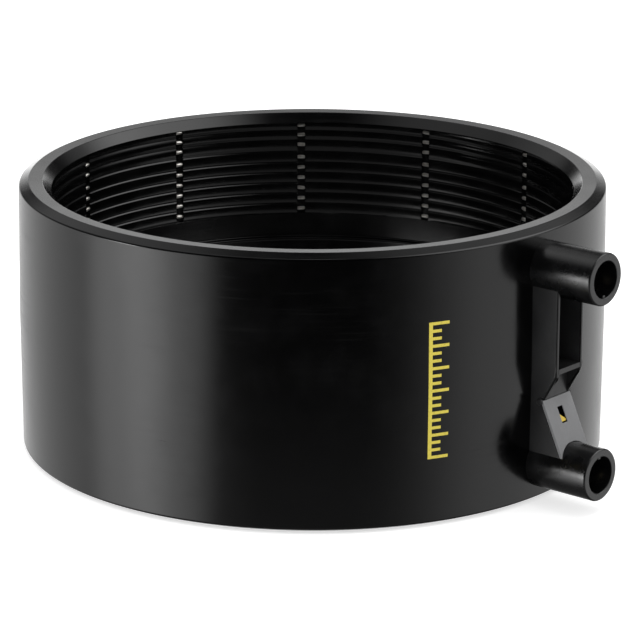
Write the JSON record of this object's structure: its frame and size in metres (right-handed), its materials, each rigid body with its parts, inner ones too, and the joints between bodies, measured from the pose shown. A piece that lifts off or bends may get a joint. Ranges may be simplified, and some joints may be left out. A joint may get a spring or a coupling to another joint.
{
  "type": "electrofusion coupler",
  "caption": "Short black plastic pipe sleeve with heating-wire turns lining both sockets, two shrouded electrical terminals and an indicator window between them.",
  "frame": {"origin": "centre of the lower end face, on the bore axis", "axes": "+Z along the bore towards the upper end, +X along the terminals, out of the shrouds"},
  "size_m": [0.2543, 0.228, 0.106],
  "materials": {
    "black_polyethylene": "moulded black polyethylene, smooth and glossy",
    "winding_coat": "black wire coat, glossy, with bright bare wire in the slots",
    "plated_brass": "turned and plated brass",
    "cover_plastic": "dark grey moulded plastic, satin",
    "yellow_plastic": "yellow moulded plastic"
  },
  "bodies": {
    "root": {"coupler_body": "black_polyethylene", "heating_winding": "winding_coat", "upper_contact_pin": "plated_brass", "lower_contact_pin": "plated_brass", "indicator_cover": "cover_plastic", "indicator_flag": "yellow_plastic"}
  },
  "joints": []
}
